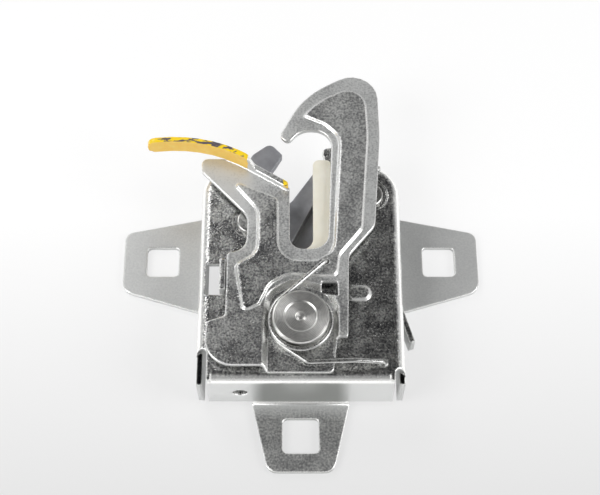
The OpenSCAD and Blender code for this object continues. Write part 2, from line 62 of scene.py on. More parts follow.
def add(tree, kind, settings, inputs):
    """A new node with its settings, and with each input set to a value or linked to an output."""
    made = tree.nodes.new(kind)
    for name, value in settings.items():
        setattr(made, name, value)
    for name, value in inputs.items():
        if isinstance(value, bpy.types.NodeSocket):
            tree.links.new(value, made.inputs[name])
        else:
            made.inputs[name].default_value = value
    return made


def finish_named(name):
    """A new material for a finish, with an empty node tree."""
    made = bpy.data.materials.new(name)
    made.use_nodes = True
    made.node_tree.nodes.clear()
    return made


def lean_back(shape, height, width, hole):
    """Set the walls that end at that height back by that width at their top, clear of the hole."""
    same_height = 2e-5
    hole_margin = 0.0025
    upright = 0.2
    corner_limit = 0.6
    moves = []
    for point in shape.verts:
        walls = [face.normal for face in point.link_faces if abs(face.normal.z) < upright]
        at_top = abs(point.co.z - height) < same_height
        if at_top and walls and (point.co.xy - hole).length > hole_margin:
            out = sum(walls, Vector()).normalized()
            moves.append((point, out * width / max(corner_limit, out.dot(walls[0]))))
    for point, move in moves:
        point.co -= move
    shape.normal_update()


def pressed(node, name, edge, shortest=0.0, square=(0.0, 0.0), lean=None):
    """A copy of a solid with its facets merged and its edges rounded, as a plain mesh.

    Sides below the shortest length are closed up first. Edges between the two heights of
    square stay sharp. With lean, a height, a width and a hole, the walls that end at that
    height lean back.
    """
    one_point = 3e-6
    one_flat = math.radians(0.6)
    sharp_from = math.radians(35)
    joined_below = 2e-6
    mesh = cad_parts[node].data.copy()
    shape = bmesh.new()
    shape.from_mesh(mesh)
    bmesh.ops.remove_doubles(shape, verts=shape.verts, dist=one_point)
    bmesh.ops.dissolve_limit(shape, angle_limit=one_flat, verts=shape.verts, edges=shape.edges)
    bmesh.ops.collapse(shape, edges=[line for line in shape.edges if line.calc_length() < shortest])
    shape.normal_update()
    if lean:
        lean_back(shape, *lean)
    weights = shape.edges.layers.float.new("bevel_weight_edge")
    for line in shape.edges:
        sharp = line.calc_face_angle(0) > sharp_from
        kept = any(square[0] < end.co.z < square[1] for end in line.verts)
        line[weights] = 1.0 if sharp and not kept else 0.0
    shape.to_mesh(mesh)
    shape.free()
    mesh.materials.clear()
    piece = bpy.data.objects.new(name, mesh)
    bpy.context.scene.collection.objects.link(piece)
    bevel = piece.modifiers.new("edge", "BEVEL")
    bevel.width = edge
    bevel.segments = 2
    bevel.limit_method = "WEIGHT"
    bevel.use_clamp_overlap = False
    weld = piece.modifiers.new("joined", "WELD")
    weld.merge_threshold = joined_below
    normals = piece.modifiers.new("flats", "WEIGHTED_NORMAL")
    normals.keep_sharp = False
    for face in mesh.polygons:
        face.use_smooth = True
    ready = piece.evaluated_get(bpy.context.evaluated_depsgraph_get())
    piece.modifiers.clear()
    piece.data = bpy.data.meshes.new_from_object(ready)
    return piece


# Zinc-coated sheet: the flats carry a fine bright spangle, about 0.7 mm across, on a
# duller ground. The ears are rubbed smooth by the tools, so they look paler and more even.
# The walls and the pressed edges are picked by their facing and given a paler, even tone:
# on the walls this is partly a smoother finish and partly a painted reflection of the pale
# floor, and the near-white on the pressed edges is a painted highlight. The rim and the arm
# of the hook plate look paler too.
spangle_size = 0.0007
spangle_depth = 0.00017
patch_size = 0.006
press_round = 0.0009
ear_levels = (0.003, 0.005)
low_ear_heights = (-0.06, -0.054)
plate_levels = (0.024, 0.0268)
rim_levels = (0.0275, 0.0279)
panel_across = (-0.018, 0.014)
foot_heights = (-0.026, -0.012)
arm_slant = -0.25
arm_across = (-0.023, -0.012)
arm_heights = (-0.014, 0.002)
zinc_sheet = finish_named("zinc coated steel sheet")
tree = zinc_sheet.node_tree
place = add(tree, "ShaderNodeTexCoord", {}, {})
spot = add(tree, "ShaderNodeSeparateXYZ", {}, {"Vector": place.outputs["Object"]})
spangle = add(tree, "ShaderNodeTexNoise", {}, {
    "Vector": place.outputs["Object"], "Scale": 1 / spangle_size, "Detail": 2.0, "Roughness": 0.6})
patches = add(tree, "ShaderNodeTexNoise", {}, {
    "Vector": place.outputs["Object"], "Scale": 1 / patch_size, "Detail": 3.0, "Roughness": 0.6})
grain = add(tree, "ShaderNodeMath", {"operation": "MULTIPLY_ADD"}, {
    0: patches.outputs["Fac"], 1: 0.35, 2: spangle.outputs["Fac"]})
spread = add(tree, "ShaderNodeMapRange", {}, {
    "Value": grain.outputs["Value"], "From Min": 0.52, "From Max": 0.86, "To Min": 0.0, "To Max": 1.0})
pressed_round = add(tree, "ShaderNodeBevel", {"samples": 8}, {"Radius": press_round})
tilt = add(tree, "ShaderNodeSeparateXYZ", {}, {"Vector": pressed_round.outputs["Normal"]})
level = add(tree, "ShaderNodeMapRange", {}, {
    "Value": tilt.outputs["Z"], "From Min": 0.8, "From Max": 0.97, "To Min": 0.0, "To Max": 1.0})
raised = add(tree, "ShaderNodeMapRange", {}, {
    "Value": spot.outputs["Z"], "From Min": ear_levels[0], "From Max": ear_levels[1],
    "To Min": 0.1, "To Max": 1.0})
on_plate = add(tree, "ShaderNodeMapRange", {}, {
    "Value": spot.outputs["Z"], "From Min": plate_levels[0], "From Max": plate_levels[1],
    "To Min": 0.0, "To Max": 1.0})
rim_rub = add(tree, "ShaderNodeMapRange", {}, {
    "Value": spot.outputs["Z"], "From Min": rim_levels[0], "From Max": rim_levels[1],
    "To Min": 0.4, "To Max": 0.0})
panel_rub = add(tree, "ShaderNodeMapRange", {}, {
    "Value": spot.outputs["X"], "From Min": panel_across[0], "From Max": panel_across[1],
    "To Min": 0.1, "To Max": 0.42})
off_foot = add(tree, "ShaderNodeMapRange", {}, {
    "Value": spot.outputs["Y"], "From Min": foot_heights[0], "From Max": foot_heights[1],
    "To Min": 0.2, "To Max": 1.0})
plate_rub = add(tree, "ShaderNodeMath", {"operation": "MULTIPLY_ADD"}, {
    0: rim_rub.outputs["Result"], 1: off_foot.outputs["Result"], 2: panel_rub.outputs["Result"]})
up_left = add(tree, "ShaderNodeMath", {"operation": "MULTIPLY_ADD"}, {
    0: spot.outputs["Y"], 1: arm_slant, 2: spot.outputs["X"]})
handled = add(tree, "ShaderNodeMapRange", {}, {
    "Value": up_left.outputs["Value"], "From Min": arm_across[0], "From Max": arm_across[1],
    "To Min": 0.6, "To Max": 0.0})
arm_high = add(tree, "ShaderNodeMapRange", {}, {
    "Value": spot.outputs["Y"], "From Min": arm_heights[0], "From Max": arm_heights[1],
    "To Min": 0.0, "To Max": 1.0})
arm_rub = add(tree, "ShaderNodeMath", {"operation": "MULTIPLY_ADD"}, {
    0: handled.outputs["Result"], 1: arm_high.outputs["Result"], 2: plate_rub.outputs["Value"]})
uneven = add(tree, "ShaderNodeMapRange", {}, {
    "Value": spread.outputs["Result"], "From Min": 0.0, "From Max": 1.0, "To Min": 0.8, "To Max": 1.15})
even_rub = add(tree, "ShaderNodeMath", {"operation": "MULTIPLY"}, {
    0: on_plate.outputs["Result"], 1: arm_rub.outputs["Value"]})
rubbed = add(tree, "ShaderNodeMath", {"operation": "MULTIPLY"}, {
    0: even_rub.outputs["Value"], 1: uneven.outputs["Result"]})
low_ear = add(tree, "ShaderNodeMapRange", {}, {
    "Value": spot.outputs["Y"], "From Min": low_ear_heights[0], "From Max": low_ear_heights[1],
    "To Min": 0.6, "To Max": 0.0})
unrubbed = add(tree, "ShaderNodeMath", {"operation": "MAXIMUM"}, {
    0: raised.outputs["Result"], 1: low_ear.outputs["Result"]})
crystal = add(tree, "ShaderNodeMath", {"operation": "SUBTRACT"}, {
    0: unrubbed.outputs["Value"], 1: rubbed.outputs["Value"]})
spangled = add(tree, "ShaderNodeMath", {"operation": "MULTIPLY", "use_clamp": True}, {
    0: level.outputs["Result"], 1: crystal.outputs["Value"]})
not_wall = add(tree, "ShaderNodeMapRange", {}, {
    "Value": tilt.outputs["Z"], "From Min": 0.12, "From Max": 0.4, "To Min": 0.0, "To Max": 1.0})
not_level = add(tree, "ShaderNodeMath", {"operation": "SUBTRACT"}, {0: 1.0, 1: level.outputs["Result"]})
# painted highlight: the pressed edges, picked by their facing, get a near-white tone on a rougher, rubbed
# finish
burnish_and_highlight = add(tree, "ShaderNodeMath", {"operation": "MULTIPLY"}, {
    0: not_wall.outputs["Result"], 1: not_level.outputs["Value"]})
bright_or_flat = add(tree, "ShaderNodeMath", {"operation": "MAXIMUM"}, {
    0: burnish_and_highlight.outputs["Value"], 1: spangled.outputs["Value"]})
ground = add(tree, "ShaderNodeMix", {"data_type": "RGBA"}, {
    0: spread.outputs["Result"], 6: linear("#626267"), 7: linear("#F6F6F2")})

# The bottom wall is painted darker in a strip above its ear, as painted shade at the step
# of the ear's fold, and the ends of the side walls at the two lower corners are painted
# near-black, as painted shade. Both are placed by their position.
strip_across = (0.0125, 0.0172)
bottom_heights = (-0.0505, -0.049)
cut_level = 0.0194
cut_reach = 0.0012
wall_inside = 0.0325
across = add(tree, "ShaderNodeMath", {"operation": "ABSOLUTE"}, {0: spot.outputs["X"]})
over_ear = add(tree, "ShaderNodeMapRange", {}, {
    "Value": across.outputs["Value"], "From Min": strip_across[0], "From Max": strip_across[1],
    "To Min": 1.0, "To Max": 0.0})
at_bottom = add(tree, "ShaderNodeMapRange", {}, {
    "Value": spot.outputs["Y"], "From Min": bottom_heights[0], "From Max": bottom_heights[1],
    "To Min": 1.0, "To Max": 0.0})
outer = add(tree, "ShaderNodeMapRange", {}, {
    "Value": tilt.outputs["Y"], "From Min": -0.8, "From Max": -0.4, "To Min": 1.0, "To Max": 0.0})
bottom_wall = add(tree, "ShaderNodeMath", {"operation": "MULTIPLY"}, {
    0: at_bottom.outputs["Result"], 1: outer.outputs["Result"]})
# painted shade: a darker strip on the bottom wall above its ear
painted_shade_strip = add(tree, "ShaderNodeMath", {"operation": "MULTIPLY"}, {
    0: over_ear.outputs["Result"], 1: bottom_wall.outputs["Value"]})
wall_tone_with_painted_shade = add(tree, "ShaderNodeMix", {"data_type": "RGBA"}, {
    0: painted_shade_strip.outputs["Value"], 6: linear("#D6D7D6"), 7: linear("#A6A8A5")})
# walls get a paler tone by their facing, partly a smoother finish and partly a painted reflection; pressed
# edges get a near-white painted highlight
smooth_tone_and_highlight = add(tree, "ShaderNodeMix", {"data_type": "RGBA"}, {
    0: burnish_and_highlight.outputs["Value"], 6: wall_tone_with_painted_shade.outputs[2], 7: linear("#F6F6F4")})
at_cut = add(tree, "ShaderNodeMath", {"operation": "COMPARE"}, {
    0: spot.outputs["Z"], 1: cut_level, 2: cut_reach})
at_side = add(tree, "ShaderNodeMath", {"operation": "GREATER_THAN"}, {
    0: across.outputs["Value"], 1: wall_inside})
# painted shade: the cut ends of the side walls at the lower corners are painted near-black
corner_painted_shade = add(tree, "ShaderNodeMath", {"operation": "MULTIPLY"}, {
    0: at_cut.outputs["Value"], 1: at_side.outputs["Value"]})
ground_with_corner_shade = add(tree, "ShaderNodeMix", {"data_type": "RGBA"}, {
    0: corner_painted_shade.outputs["Value"], 6: ground.outputs[2], 7: linear("#2B2B2D")})
zinc_colour = add(tree, "ShaderNodeMix", {"data_type": "RGBA"}, {
    0: spangled.outputs["Value"], 6: smooth_tone_and_highlight.outputs[2], 7: ground_with_corner_shade.outputs[2]})
flat_rough = add(tree, "ShaderNodeMapRange", {}, {
    "Value": patches.outputs["Fac"], "From Min": 0.3, "From Max": 0.7, "To Min": 0.2, "To Max": 0.32})
zinc_rough = add(tree, "ShaderNodeMix", {}, {
    0: bright_or_flat.outputs["Value"], 2: 0.42, 3: flat_rough.outputs["Result"]})
zinc_shine = add(tree, "ShaderNodeMapRange", {}, {
    "Value": bright_or_flat.outputs["Value"], "From Min": 0.0, "From Max": 1.0, "To Min": 0.45,
    "To Max": 1.0})
bump_depth = add(tree, "ShaderNodeMath", {"operation": "MULTIPLY"}, {0: spangled.outputs["Value"], 1: 0.7})
zinc_bump = add(tree, "ShaderNodeBump", {}, {
    "Height": spangle.outputs["Fac"], "Strength": bump_depth.outputs["Value"], "Distance": spangle_depth,
    "Normal": pressed_round.outputs["Normal"]})
zinc = add(tree, "ShaderNodeBsdfPrincipled", {}, {
    "Base Color": zinc_colour.outputs[2], "Metallic": zinc_shine.outputs["Result"],
    "Roughness": zinc_rough.outputs[0], "Normal": zinc_bump.outputs["Normal"]})
add(tree, "ShaderNodeOutputMaterial", {}, {"Surface": zinc.outputs["BSDF"]})

housing = pressed("housing", "pressed_housing", housing_edge, short_side, ear_folds)
housing.data.materials.append(zinc_sheet)
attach(housing, "pan")
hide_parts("housing")

# Rivets that hold the claw and the pawl: shouldered pins of cold-headed steel, zinc
# plated, set into dimples of the face and closed there with a low round head. The washer
# and the spacer on them are turned from the same steel.
rivet_edge = 0.00025
blotch_size = 0.0016
blotch_depth = 0.0003
turned_steel = finish_named("plated cold-headed steel")
tree = turned_steel.node_tree
place = add(tree, "ShaderNodeTexCoord", {}, {})
blotch = add(tree, "ShaderNodeTexNoise", {}, {
    "Vector": place.outputs["Object"], "Scale": 1 / blotch_size, "Detail": 4.0, "Roughness": 0.65})
steel_colour = add(tree, "ShaderNodeMix", {"data_type": "RGBA"}, {
    0: blotch.outputs["Fac"], 6: linear("#9A9B9B"), 7: linear("#E2E1DD")})
steel_rough = add(tree, "ShaderNodeMapRange", {}, {
    "Value": blotch.outputs["Fac"], "From Min": 0.3, "From Max": 0.7, "To Min": 0.22, "To Max": 0.4})
steel_bump = add(tree, "ShaderNodeBump", {}, {
    "Height": blotch.outputs["Fac"], "Strength": 0.1, "Distance": blotch_depth})
steel = add(tree, "ShaderNodeBsdfPrincipled", {}, {
    "Base Color": steel_colour.outputs[2], "Metallic": 1.0, "Roughness": steel_rough.outputs["Result"],
    "Normal": steel_bump.outputs["Normal"]})
add(tree, "ShaderNodeOutputMaterial", {}, {"Surface": steel.outputs["BSDF"]})

for node in ("claw_rivet", "pawl_rivet", "claw_washer", "pawl_spacer"):
    pin = pressed(node, "dressed_" + node, rivet_edge)
    pin.data.materials.append(turned_steel)
    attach(pin, "pan")
    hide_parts(node)

# Claw and pawl: fine-blanked from thick steel plate and phosphated, which leaves a dark
# grey, dull and slightly cloudy surface with rolled edges.
lever_edge = 0.00035
cloud_size = 0.004
grit_size = 0.0006
grit_depth = 0.0002
phosphated = finish_named("phosphated steel plate")
tree = phosphated.node_tree
place = add(tree, "ShaderNodeTexCoord", {}, {})
cloud = add(tree, "ShaderNodeTexNoise", {}, {
    "Vector": place.outputs["Object"], "Scale": 1 / cloud_size, "Detail": 5.0, "Roughness": 0.65})
grit = add(tree, "ShaderNodeTexNoise", {}, {
    "Vector": place.outputs["Object"], "Scale": 1 / grit_size, "Detail": 2.0, "Roughness": 0.5})
dark_colour = add(tree, "ShaderNodeMix", {"data_type": "RGBA"}, {
    0: cloud.outputs["Fac"], 6: linear("#88898E"), 7: linear("#B8B9BE")})
dark_rough = add(tree, "ShaderNodeMapRange", {}, {
    "Value": cloud.outputs["Fac"], "From Min": 0.3, "From Max": 0.7, "To Min": 0.38, "To Max": 0.55})
dark_bump = add(tree, "ShaderNodeBump", {}, {
    "Height": grit.outputs["Fac"], "Strength": 0.15, "Distance": grit_depth})
dark = add(tree, "ShaderNodeBsdfPrincipled", {}, {
    "Base Color": dark_colour.outputs[2], "Metallic": 0.5, "Roughness": dark_rough.outputs["Result"],
    "Normal": dark_bump.outputs["Normal"]})
add(tree, "ShaderNodeOutputMaterial", {}, {"Surface": dark.outputs["BSDF"]})

for node in ("claw", "pawl"):
    lever = pressed(node, "blanked_" + node, lever_edge)
    lever.data.materials.append(phosphated)
    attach(lever, node)
    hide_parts(node)

# Striker guide: a clip of natural nylon, moulded, pushed over the edge of the slot. It
# is warm white and a little translucent, with a dull skin.
guide_edge = 0.0003
tint_size = 0.006
skin_size = 0.0007
skin_depth = 0.0002
light_reach = (0.0012, 0.001, 0.0007)
nylon = finish_named("natural nylon, moulded")
tree = nylon.node_tree
place = add(tree, "ShaderNodeTexCoord", {}, {})
tint = add(tree, "ShaderNodeTexNoise", {}, {
    "Vector": place.outputs["Object"], "Scale": 1 / tint_size, "Detail": 3.0, "Roughness": 0.5})
skin = add(tree, "ShaderNodeTexNoise", {}, {
    "Vector": place.outputs["Object"], "Scale": 1 / skin_size, "Detail": 2.0, "Roughness": 0.5})
nylon_colour = add(tree, "ShaderNodeMix", {"data_type": "RGBA"}, {
    0: tint.outputs["Fac"], 6: linear("#E8E2CE"), 7: linear("#F8F5EA")})
nylon_bump = add(tree, "ShaderNodeBump", {}, {
    "Height": skin.outputs["Fac"], "Strength": 0.08, "Distance": skin_depth})
moulded = add(tree, "ShaderNodeBsdfPrincipled", {}, {
    "Base Color": nylon_colour.outputs[2], "Roughness": 0.42, "IOR": 1.53, "Subsurface Weight": 0.12,
    "Subsurface Radius": light_reach, "Subsurface Scale": 1.0, "Normal": nylon_bump.outputs["Normal"]})
add(tree, "ShaderNodeOutputMaterial", {}, {"Surface": moulded.outputs["BSDF"]})

guide = pressed("striker_guide", "moulded_guide", guide_edge)
guide.data.materials.append(nylon)
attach(guide, "pan")
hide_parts("striker_guide")

# Safety hook: one plate of the same zinc-coated sheet, blanked, with its middle pressed
# up and the pivot pocket pressed down. The handle is a flange bent forward and dipped in
# yellow paint, which is worn through along its front edge. That front edge, facing up, is
# painted a brighter yellow than the orange underside: painted light and shade.
hook_edge = 0.00025
panel_slope = 0.0007
panel_front = 0.0282
plate_front = 0.0272
leg_hole_at = Vector((0.0086, -0.0121))
paint_from = -0.0187
paint_above = 0.0225
paint_gap = 0.0003
paint_depth = 0.0003
rag_size = 0.0022
rag_width = 0.002
dab_from = -0.0052
dab_to = -0.004
dab_front = 0.0287
scratch_size = 0.0013

painted_sheet = zinc_sheet.copy()
painted_sheet.name = "zinc coated sheet with yellow dip paint"
tree = painted_sheet.node_tree
place = add(tree, "ShaderNodeTexCoord", {}, {})
spot = add(tree, "ShaderNodeSeparateXYZ", {}, {"Vector": place.outputs["Object"]})
ragged = add(tree, "ShaderNodeTexNoise", {}, {
    "Vector": place.outputs["Object"], "Scale": 1 / rag_size, "Detail": 4.0, "Roughness": 0.6})
rag = add(tree, "ShaderNodeMath", {"operation": "MULTIPLY_ADD"}, {
    0: ragged.outputs["Fac"], 1: rag_width, 2: spot.outputs["X"]})
left_of = add(tree, "ShaderNodeMath", {"operation": "LESS_THAN"}, {
    0: rag.outputs["Value"], 1: paint_from + rag_width / 2})
before_plate = add(tree, "ShaderNodeMath", {"operation": "GREATER_THAN"}, {
    0: spot.outputs["Z"], 1: plate_front + paint_gap})
above_arm = add(tree, "ShaderNodeMath", {"operation": "GREATER_THAN"}, {
    0: spot.outputs["Y"], 1: paint_above})
bent_up = add(tree, "ShaderNodeMath", {"operation": "MULTIPLY"}, {
    0: above_arm.outputs["Value"], 1: before_plate.outputs["Value"]})
dipped = add(tree, "ShaderNodeMath", {"operation": "MULTIPLY"}, {
    0: left_of.outputs["Value"], 1: bent_up.outputs["Value"]})
right_of = add(tree, "ShaderNodeMath", {"operation": "GREATER_THAN"}, {0: rag.outputs["Value"], 1: dab_from})
before_slot = add(tree, "ShaderNodeMath", {"operation": "LESS_THAN"}, {0: spot.outputs["X"], 1: dab_to})
on_flange = add(tree, "ShaderNodeMath", {"operation": "GREATER_THAN"}, {
    0: spot.outputs["Z"], 1: dab_front})
dab_end = add(tree, "ShaderNodeMath", {"operation": "MULTIPLY"}, {
    0: right_of.outputs["Value"], 1: before_slot.outputs["Value"]})
dab = add(tree, "ShaderNodeMath", {"operation": "MULTIPLY"}, {
    0: dab_end.outputs["Value"], 1: on_flange.outputs["Value"]})
masked = add(tree, "ShaderNodeMath", {"operation": "MAXIMUM"}, {
    0: dipped.outputs["Value"], 1: dab.outputs["Value"]})
scratch_way = add(tree, "ShaderNodeMapping", {}, {
    "Vector": place.outputs["Object"], "Scale": (0.3, 1.0, 1.0)})
scratches = add(tree, "ShaderNodeTexNoise", {}, {
    "Vector": scratch_way.outputs["Vector"], "Scale": 1 / scratch_size, "Detail": 3.0, "Roughness": 0.6})
turned_to = add(tree, "ShaderNodeNewGeometry", {}, {})
turned_way = add(tree, "ShaderNodeSeparateXYZ", {}, {"Vector": turned_to.outputs["Normal"]})
cut_edge = add(tree, "ShaderNodeMapRange", {}, {
    "Value": turned_way.outputs["Z"], "From Min": 0.5, "From Max": 0.8, "To Min": 0.0, "To Max": 1.0})
wear = add(tree, "ShaderNodeMapRange", {}, {
    "Value": scratches.outputs["Fac"], "From Min": 0.53, "From Max": 0.58, "To Min": 0.0, "To Max": 1.0})
worn = add(tree, "ShaderNodeMath", {"operation": "MULTIPLY"}, {
    0: wear.outputs["Result"], 1: cut_edge.outputs["Result"]})
paint_body = add(tree, "ShaderNodeMix", {"data_type": "RGBA"}, {
    0: ragged.outputs["Fac"], 6: linear("#FFC438"), 7: linear("#FFE07A")})
# painted light: the up-facing cut edge of the handle gets a brighter yellow than the rest of the paint
paint_lit_edge = add(tree, "ShaderNodeMix", {"data_type": "RGBA"}, {
    0: cut_edge.outputs["Result"], 6: paint_body.outputs[2], 7: linear("#FFDA1E")})
paint_colour = add(tree, "ShaderNodeMix", {"data_type": "RGBA"}, {
    0: worn.outputs["Value"], 6: paint_lit_edge.outputs[2], 7: linear("#5B5460")})
paint_bump = add(tree, "ShaderNodeBump", {}, {
    "Height": ragged.outputs["Fac"], "Strength": 0.2, "Distance": paint_depth})
paint = add(tree, "ShaderNodeBsdfPrincipled", {}, {
    "Base Color": paint_colour.outputs[2], "Roughness": 0.32, "IOR": 1.5,
    "Normal": paint_bump.outputs["Normal"]})
bare = next(n for n in tree.nodes if n.type == "BSDF_PRINCIPLED" and n != paint)
surface = next(n for n in tree.nodes if n.type == "OUTPUT_MATERIAL")
coat = add(tree, "ShaderNodeMixShader", {}, {
    0: masked.outputs["Value"], 1: bare.outputs["BSDF"], 2: paint.outputs["BSDF"]})
tree.links.new(coat.outputs["Shader"], surface.inputs["Surface"])

panel_walls = (panel_front, panel_slope, leg_hole_at)
hook = pressed("safety_hook", "pressed_hook", hook_edge, short_side, lean=panel_walls)
hook.data.materials.append(painted_sheet)
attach(hook, "hook")
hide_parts("safety_hook")

# Main rivet: a turned steel stud whose head still shows the tool's rings, about 0.5 mm
# apart, round a small centre nipple.
stud_edge = 0.0002
stud_centre = (0.0, -0.034, 0.0)
ring_pitch = 0.0005
ring_depth = 0.0002
ring_period = 2 * math.pi / 20
haze_size = 0.002
turned_head = finish_named("turned steel, plated")
tree = turned_head.node_tree
place = add(tree, "ShaderNodeTexCoord", {}, {})
centred = add(tree, "ShaderNodeMapping", {}, {
    "Vector": place.outputs["Object"], "Location": (-stud_centre[0], -stud_centre[1], 0.0)})
rings = add(tree, "ShaderNodeTexWave", {"wave_type": "RINGS", "rings_direction": "Z"}, {
    "Vector": centred.outputs["Vector"], "Scale": ring_period / ring_pitch, "Distortion": 0.6,
    "Detail": 2.0, "Detail Scale": 1.0})
haze = add(tree, "ShaderNodeTexNoise", {}, {
    "Vector": place.outputs["Object"], "Scale": 1 / haze_size, "Detail": 4.0, "Roughness": 0.6})
ring_tone = add(tree, "ShaderNodeMath", {"operation": "MULTIPLY_ADD"}, {
    0: rings.outputs["Fac"], 1: 0.4, 2: haze.outputs["Fac"]})
head_colour = add(tree, "ShaderNodeMix", {"data_type": "RGBA"}, {
    0: ring_tone.outputs["Value"], 6: linear("#97989A"), 7: linear("#DEDDD9")})
head_bump = add(tree, "ShaderNodeBump", {}, {
    "Height": rings.outputs["Fac"], "Strength": 0.25, "Distance": ring_depth})
head = add(tree, "ShaderNodeBsdfPrincipled", {}, {
    "Base Color": head_colour.outputs[2], "Metallic": 1.0, "Roughness": 0.32,
    "Normal": head_bump.outputs["Normal"]})
add(tree, "ShaderNodeOutputMaterial", {}, {"Surface": head.outputs["BSDF"]})

stud = pressed("pivot_rivet", "main_rivet", stud_edge)
stud.data.materials.append(turned_head)
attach(stud, "pan")
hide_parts("pivot_rivet")

# Springs: round hard-drawn wire, coiled with straight legs and bent ends. The safety
# spring is 1.7 mm wire round the main rivet, and the two inner ones are 1.4 mm wire on
# the rivets of the claw and the pawl. A sweep of a round section makes each of them.
draw_mark_size = 0.0012
wire_sides = 20
drawn_wire = finish_named("hard-drawn spring wire")
tree = drawn_wire.node_tree
place = add(tree, "ShaderNodeTexCoord", {}, {})
draw_marks = add(tree, "ShaderNodeTexNoise", {}, {
    "Vector": place.outputs["Object"], "Scale": 1 / draw_mark_size, "Detail": 4.0, "Roughness": 0.6})
wire_colour = add(tree, "ShaderNodeMix", {"data_type": "RGBA"}, {
    0: draw_marks.outputs["Fac"], 6: linear("#8F9090"), 7: linear("#E9E9E6")})
wire_rough = add(tree, "ShaderNodeMapRange", {}, {
    "Value": draw_marks.outputs["Fac"], "From Min": 0.3, "From Max": 0.7, "To Min": 0.2, "To Max": 0.36})
wire_metal = add(tree, "ShaderNodeBsdfPrincipled", {}, {
    "Base Color": wire_colour.outputs[2], "Metallic": 1.0, "Roughness": wire_rough.outputs["Result"]})
add(tree, "ShaderNodeOutputMaterial", {}, {"Surface": wire_metal.outputs["BSDF"]})

sweep = bpy.data.node_groups.new("wire along its path", "GeometryNodeTree")
sweep.interface.new_socket("Path", in_out="INPUT", socket_type="NodeSocketGeometry")
diameter_in = sweep.interface.new_socket("Wire diameter", in_out="INPUT", socket_type="NodeSocketFloat")
sweep.interface.new_socket("Wire", in_out="OUTPUT", socket_type="NodeSocketGeometry")
given = add(sweep, "NodeGroupInput", {}, {})
radius = add(sweep, "ShaderNodeMath", {"operation": "MULTIPLY"}, {0: given.outputs["Wire diameter"], 1: 0.5})
section = add(sweep, "GeometryNodeCurvePrimitiveCircle", {"mode": "RADIUS"}, {
    "Resolution": wire_sides, "Radius": radius.outputs["Value"]})
swept = add(sweep, "GeometryNodeCurveToMesh", {}, {
    "Curve": given.outputs["Path"], "Profile Curve": section.outputs["Curve"], "Fill Caps": True})
smooth = add(sweep, "GeometryNodeSetShadeSmooth", {}, {"Geometry": swept.outputs["Mesh"]})
whole = add(sweep, "GeometryNodeRealizeInstances", {}, {"Geometry": smooth.outputs["Geometry"]})
finished = add(sweep, "GeometryNodeSetMaterial", {}, {
    "Geometry": whole.outputs["Geometry"], "Material": drawn_wire})
add(sweep, "NodeGroupOutput", {}, {"Wire": finished.outputs["Geometry"]})


def bend(before, at, after, r, steps=8):
    """Points of the arc of radius r that rounds the corner of a wire."""
    u = (before - at).normalized()
    v = (after - at).normalized()
    half = u.angle(v) / 2
    middle = at + (u + v).normalized() * (r / math.sin(half))
    first = at + u * (r / math.tan(half)) - middle
    last = at + v * (r / math.tan(half)) - middle
    turn = math.pi - 2 * half
    points = []
    for i in range(steps + 1):
        way = first * math.sin(turn * (1 - i / steps)) + last * math.sin(turn * i / steps)
        points.append(middle + way / math.sin(turn))
    return points


def coil(centre, r, start, end, z0, z1, step=6):
    """Points of a coil about an upright axis, one for each step in degrees."""
    steps = max(1, round(abs(end - start) / step))
    points = []
    for i in range(steps + 1):
        a = math.radians(start + (end - start) * i / steps)
        height = z0 + (z1 - z0) * i / steps
        points.append(Vector((centre.x + r * math.cos(a), centre.y + r * math.sin(a), height)))
    return points


def wound(name, points, wire):
    """A wire of that diameter along points in millimetres, as a plain mesh."""
    curve = bpy.data.curves.new(name, "CURVE")
    curve.dimensions = "3D"
    line = curve.splines.new("POLY")
    line.points.add(len(points) - 1)
    for slot, point in zip(line.points, points):
        slot.co = (point.x / 1000, point.y / 1000, point.z / 1000, 1.0)
    path = bpy.data.objects.new(name + " path", curve)
    bpy.context.scene.collection.objects.link(path)
    run = path.modifiers.new("sweep", "NODES")
    run.node_group = sweep
    run[diameter_in.identifier] = wire / 1000
    mesh = bpy.data.meshes.new_from_object(path.evaluated_get(bpy.context.evaluated_depsgraph_get()))
    bpy.data.objects.remove(path)
    piece = bpy.data.objects.new(name, mesh)
    bpy.context.scene.collection.objects.link(piece)
    return piece


# Safety spring, in millimetres: from its hole in the hook plate down through two turns
# round the rivet, then over the pocket's edge and into its hole in the face.
safety_wire = 1.7
pivot = Vector((0, -34, 0))
coil_r = 10.2
coil_low = 26.4
coil_high = 29.3
two_turns = 720
leg_hole = Vector((8.6, -12.1, 0))
leg_low = 26.2
bend_at = Vector((2.4, -48, 0))
face_hole = Vector((27.4, -47.1, 0))
drop_from = 24.1
face_low = 21
tight_bend = 1.6
wide_bend = 3
to_hole = leg_hole - pivot
to_bend = bend_at - pivot
coil_start = math.degrees(math.atan2(to_hole.y, to_hole.x) + math.acos(coil_r / to_hole.length))
coil_end = math.degrees(math.atan2(to_bend.y, to_bend.x) - math.acos(coil_r / to_bend.length)) + two_turns
in_plate = Vector((leg_hole.x, leg_hole.y, leg_low))
over_plate = Vector((leg_hole.x, leg_hole.y, coil_high))
turns = coil(pivot, coil_r, coil_start, coil_end, coil_high, coil_low)
turn_at = Vector((bend_at.x, bend_at.y, coil_low))
over_edge = Vector((17.8, -47.4, coil_low))
drop = Vector((face_hole.x, face_hole.y, drop_from))
in_face = Vector((face_hole.x, face_hole.y, face_low))
safety_path = [in_plate] + bend(in_plate, over_plate, turns[0], tight_bend) + turns
safety_path += bend(turns[-1], turn_at, over_edge, wide_bend) + bend(turn_at, over_edge, drop, wide_bend)
safety_path += bend(over_edge, drop, in_face, tight_bend) + [in_face]
safety_spring = wound("wound_safety_spring", safety_path, safety_wire)
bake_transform(safety_spring)
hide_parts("safety_spring")

